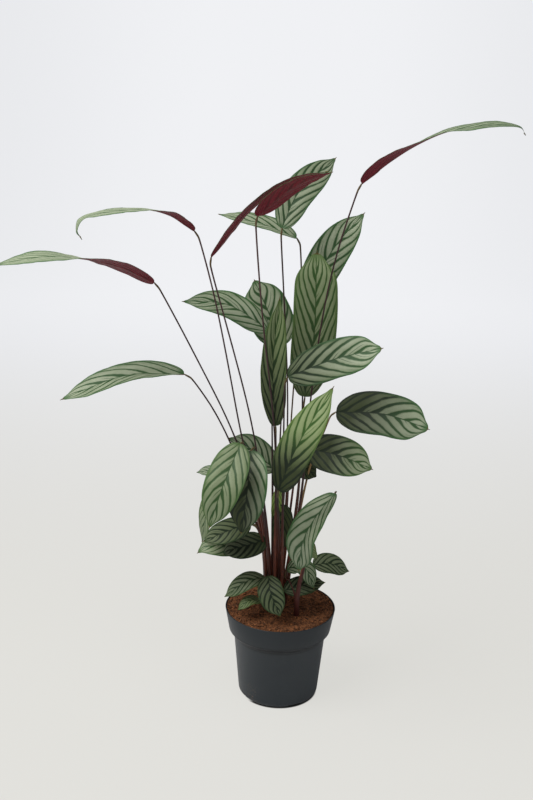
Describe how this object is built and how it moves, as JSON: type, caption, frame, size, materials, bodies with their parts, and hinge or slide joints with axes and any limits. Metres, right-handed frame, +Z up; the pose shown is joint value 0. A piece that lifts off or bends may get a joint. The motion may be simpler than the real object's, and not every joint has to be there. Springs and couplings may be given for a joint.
{
  "type": "potted ctenanthe",
  "caption": "House plant in a round plastic nursery pot: long-stalked oval leaves with herringbone stripes arch up and outwards from the soil.",
  "frame": {"origin": "centre of the flat middle of the pot's underside, level with its standing edge", "axes": "+Z up along the pot's axis, the plant's front looks along -Y, +X to its right"},
  "size_m": [0.9007, 0.323, 1.0906],
  "materials": {
    "pot": "satin moulded nursery-pot plastic, slightly dusty",
    "soil": "crumbly peat potting mix with bark and fibre",
    "blade": "soft-sheen silver green leaf with dark green herringbone stripes, burgundy underneath",
    "stalk": "smooth dark purple-brown stalk, reddish sheath low down, olive swollen joint on top"
  },
  "bodies": {
    "root": {"back_shoot": "stalk", "blade_bright": "blade", "blade_dark_low": "blade", "blade_front_left": "blade", "blade_front_left_dark": "blade", "blade_front_right": "blade", "blade_front_small": "blade", "blade_front_small_left": "blade", "blade_front_tiny": "blade", "blade_inner_back": "blade", "blade_inner_front": "blade", "blade_inner_left": "blade", "blade_left": "blade", "blade_left_back": "blade", "blade_left_edge": "blade", "blade_left_low": "blade", "blade_left_low_front": "blade", "blade_left_tip": "blade", "blade_low_arch_left": "blade", "blade_right": "blade", "blade_right_low": "blade", "blade_right_under": "blade", "blade_small_low_right": "blade", "blade_small_mid": "blade", "blade_small_right": "blade", "blade_tall": "blade", "blade_tall_back": "blade", "blade_top_back": "blade", "blade_top_front": "blade", "blade_top_left": "blade", "blade_top_mid": "blade", "blade_top_right": "blade", "blade_upper_left": "blade", "front_right_shoot": "stalk", "front_shoot": "stalk", "pot": "pot", "soil": "soil", "stalk_bright": "stalk", "stalk_front_left": "stalk", "stalk_front_left_dark": "stalk", "stalk_inner_back": "stalk", "stalk_inner_front": "stalk", "stalk_inner_left": "stalk", "stalk_left": "stalk", "stalk_left_edge": "stalk", "stalk_left_low": "stalk", "stalk_left_low_front": "stalk", "stalk_left_tip": "stalk", "stalk_low_arch_left": "stalk", "stalk_right": "stalk", "stalk_right_low": "stalk", "stalk_right_under": "stalk", "stalk_tall": "stalk", "stalk_tall_back": "stalk", "stalk_top_back": "stalk", "stalk_top_front": "stalk", "stalk_top_left": "stalk", "stalk_top_mid": "stalk", "stalk_top_right": "stalk", "stalk_upper_left": "stalk"}
  },
  "joints": []
}
